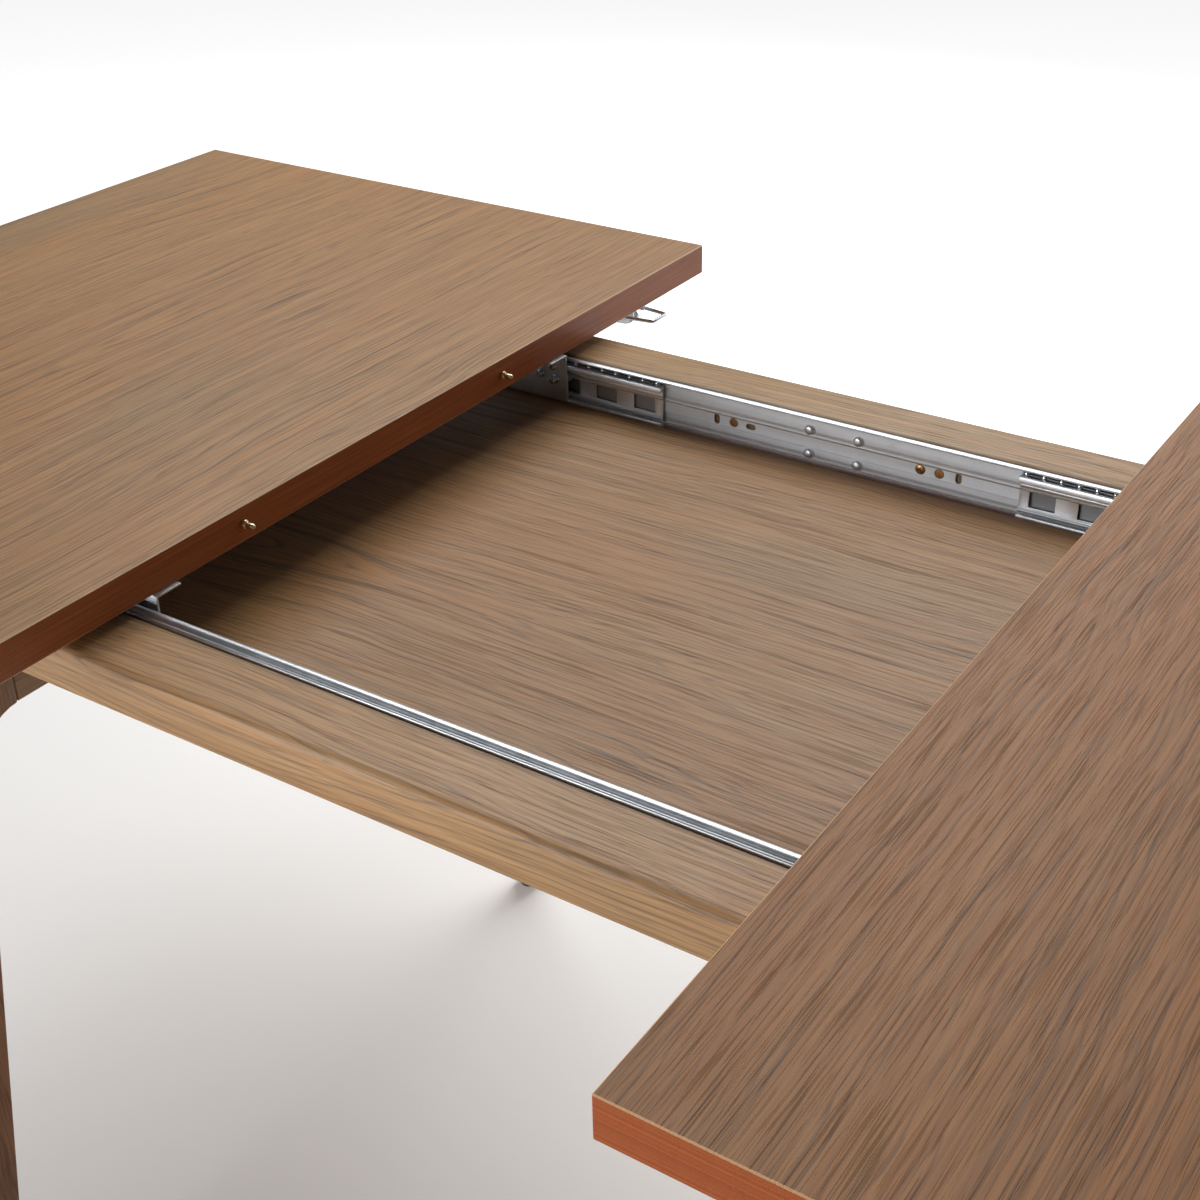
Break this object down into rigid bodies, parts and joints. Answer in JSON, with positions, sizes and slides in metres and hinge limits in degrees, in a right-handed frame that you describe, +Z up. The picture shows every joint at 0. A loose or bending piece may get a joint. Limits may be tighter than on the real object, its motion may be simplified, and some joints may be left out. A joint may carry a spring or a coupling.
{
  "type": "extending dining table",
  "caption": "Extending dining table: half tops on synchronised ball slides, a leaf stored turned in the well, splayed legs and a draw latch.",
  "frame": {"origin": "on the floor under the middle of the table", "axes": "+X along the extension, +Y across the table to the back, +Z up"},
  "size_m": [1.68, 0.9, 0.75],
  "materials": {
    "stained_oak_veneer": "open-grained oak veneer stained walnut brown, satin lacquer",
    "stained_oak_solid": "solid oak stained walnut brown, satin lacquer",
    "zinc_plated_steel": "rolled steel, zinc plated, blue-grey satin",
    "cage_steel": "thin rolled strip, dark oiled",
    "bright_steel": "nickel plated wire and pressings",
    "cable_steel": "twisted steel wire rope",
    "pale_brass": "pale turned brass, light polish",
    "yellow_zinc": "yellow passivated steel screws",
    "black_nylon": "moulded black nylon"
  },
  "bodies": {
    "base": {"rail_front": "stained_oak_solid", "rail_back": "stained_oak_solid", "cross_apron_left": "stained_oak_solid", "cross_apron_right": "stained_oak_solid", "leg_front_left": "stained_oak_solid", "leg_front_right": "stained_oak_solid", "leg_back_left": "stained_oak_solid", "leg_back_right": "stained_oak_solid", "foot_glide_front_left": "black_nylon", "foot_glide_front_right": "black_nylon", "foot_glide_back_left": "black_nylon", "foot_glide_back_right": "black_nylon", "channel_front": "zinc_plated_steel", "channel_back": "zinc_plated_steel", "sync_cable_front": "cable_steel", "sync_cable_back": "cable_steel", "channel_screw_front_left": "yellow_zinc", "channel_screw_front_right": "yellow_zinc", "channel_screw_back_left": "yellow_zinc", "channel_screw_back_right": "yellow_zinc"},
    "left_half_top": {"top_left": "stained_oak_veneer", "locating_pin_front": "pale_brass", "locating_pin_back": "pale_brass", "latch_base_back": "zinc_plated_steel", "latch_pin_back": "bright_steel", "inner_member_front_left": "zinc_plated_steel", "inner_member_back_left": "zinc_plated_steel", "top_bracket_front_left": "zinc_plated_steel", "top_bracket_back_left": "zinc_plated_steel"},
    "right_half_top": {"top_right": "stained_oak_veneer", "keeper_back": "zinc_plated_steel", "inner_member_front_right": "zinc_plated_steel", "inner_member_back_right": "zinc_plated_steel", "top_bracket_front_right": "zinc_plated_steel", "top_bracket_back_right": "zinc_plated_steel"},
    "stored_leaf": {"extension_leaf": "stained_oak_veneer", "leaf_pin_left": "pale_brass", "leaf_pin_right": "pale_brass"},
    "middle_member_front_left": {"middle_member_front_left": "zinc_plated_steel"},
    "ball_cage_front_left": {"ball_cage_front_left": "cage_steel"},
    "pulley_front_left": {"pulley_front_left": "black_nylon"},
    "middle_member_front_right": {"middle_member_front_right": "zinc_plated_steel"},
    "ball_cage_front_right": {"ball_cage_front_right": "cage_steel"},
    "pulley_front_right": {"pulley_front_right": "black_nylon"},
    "middle_member_back_left": {"middle_member_back_left": "zinc_plated_steel"},
    "ball_cage_back_left": {"ball_cage_back_left": "cage_steel"},
    "pulley_back_left": {"pulley_back_left": "black_nylon"},
    "middle_member_back_right": {"middle_member_back_right": "zinc_plated_steel"},
    "ball_cage_back_right": {"ball_cage_back_right": "cage_steel"},
    "pulley_back_right": {"pulley_back_right": "black_nylon"},
    "latch_lever_back": {"latch_lever_back": "bright_steel"},
    "latch_bail_back": {"latch_bail_back": "bright_steel"}
  },
  "joints": [
    {"name": "left_top_slide", "type": "slide", "parent": "base", "child": "left_half_top", "axis": [1, 0, 0], "range_m": [0, 0.2398]},
    {"name": "right_top_slide", "type": "slide", "parent": "base", "child": "right_half_top", "axis": [-1, 0, 0], "range_m": [0, 0.2398]},
    {"name": "leaf_draw", "type": "slide", "parent": "base", "child": "stored_leaf", "axis": [1, 0, 0], "range_m": [-0.045, 0.045]},
    {"name": "middle_slide_front_left", "type": "slide", "parent": "base", "child": "middle_member_front_left", "axis": [1, 0, 0], "range_m": [0, 0.1199]},
    {"name": "cage_roll_front_left", "type": "slide", "parent": "base", "child": "ball_cage_front_left", "axis": [1, 0, 0], "range_m": [0, 0.05995]},
    {"name": "pulley_turn_front_left", "type": "hinge", "parent": "base", "child": "pulley_front_left", "pos_m": [-0.5565, -0.2308, 0.6945], "axis": [0, 1, 0], "range_deg": [0, 1447]},
    {"name": "middle_slide_front_right", "type": "slide", "parent": "base", "child": "middle_member_front_right", "axis": [-1, 0, 0], "range_m": [0, 0.1199]},
    {"name": "cage_roll_front_right", "type": "slide", "parent": "base", "child": "ball_cage_front_right", "axis": [-1, 0, 0], "range_m": [0, 0.05995]},
    {"name": "pulley_turn_front_right", "type": "hinge", "parent": "base", "child": "pulley_front_right", "pos_m": [0.5565, -0.2308, 0.6945], "axis": [0, 1, 0], "range_deg": [0, 1447]},
    {"name": "middle_slide_back_left", "type": "slide", "parent": "base", "child": "middle_member_back_left", "axis": [1, 0, 0], "range_m": [0, 0.1199]},
    {"name": "cage_roll_back_left", "type": "slide", "parent": "base", "child": "ball_cage_back_left", "axis": [1, 0, 0], "range_m": [0, 0.05995]},
    {"name": "pulley_turn_back_left", "type": "hinge", "parent": "base", "child": "pulley_back_left", "pos_m": [-0.5565, 0.2308, 0.6945], "axis": [0, 1, 0], "range_deg": [0, 1447]},
    {"name": "middle_slide_back_right", "type": "slide", "parent": "base", "child": "middle_member_back_right", "axis": [-1, 0, 0], "range_m": [0, 0.1199]},
    {"name": "cage_roll_back_right", "type": "slide", "parent": "base", "child": "ball_cage_back_right", "axis": [-1, 0, 0], "range_m": [0, 0.05995]},
    {"name": "pulley_turn_back_right", "type": "hinge", "parent": "base", "child": "pulley_back_right", "pos_m": [0.5565, 0.2308, 0.6945], "axis": [0, 1, 0], "range_deg": [0, 1447]},
    {"name": "latch_lever_back", "type": "hinge", "parent": "left_half_top", "child": "latch_lever_back", "pos_m": [-0.276, 0.3617, 0.717], "axis": [0, -1, 0], "range_deg": [0, 35]},
    {"name": "latch_bail_back", "type": "hinge", "parent": "latch_lever_back", "child": "latch_bail_back", "pos_m": [-0.2655, 0.3617, 0.712], "axis": [0, -1, 0], "range_deg": [-35, 0]}
  ],
  "couplings": [
    {"joint": "right_top_slide", "follows": "left_top_slide", "ratio": 1},
    {"joint": "middle_slide_front_left", "follows": "left_top_slide", "ratio": 0.5},
    {"joint": "cage_roll_front_left", "follows": "left_top_slide", "ratio": 0.25},
    {"joint": "pulley_turn_front_left", "follows": "left_top_slide", "rad_per_m": 105.26},
    {"joint": "middle_slide_front_right", "follows": "left_top_slide", "ratio": 0.5},
    {"joint": "cage_roll_front_right", "follows": "left_top_slide", "ratio": 0.25},
    {"joint": "pulley_turn_front_right", "follows": "left_top_slide", "rad_per_m": 105.26},
    {"joint": "middle_slide_back_left", "follows": "left_top_slide", "ratio": 0.5},
    {"joint": "cage_roll_back_left", "follows": "left_top_slide", "ratio": 0.25},
    {"joint": "pulley_turn_back_left", "follows": "left_top_slide", "rad_per_m": 105.26},
    {"joint": "middle_slide_back_right", "follows": "left_top_slide", "ratio": 0.5},
    {"joint": "cage_roll_back_right", "follows": "left_top_slide", "ratio": 0.25},
    {"joint": "pulley_turn_back_right", "follows": "left_top_slide", "rad_per_m": 105.26},
    {"joint": "latch_bail_back", "follows": "latch_lever_back", "ratio": -1}
  ]
}
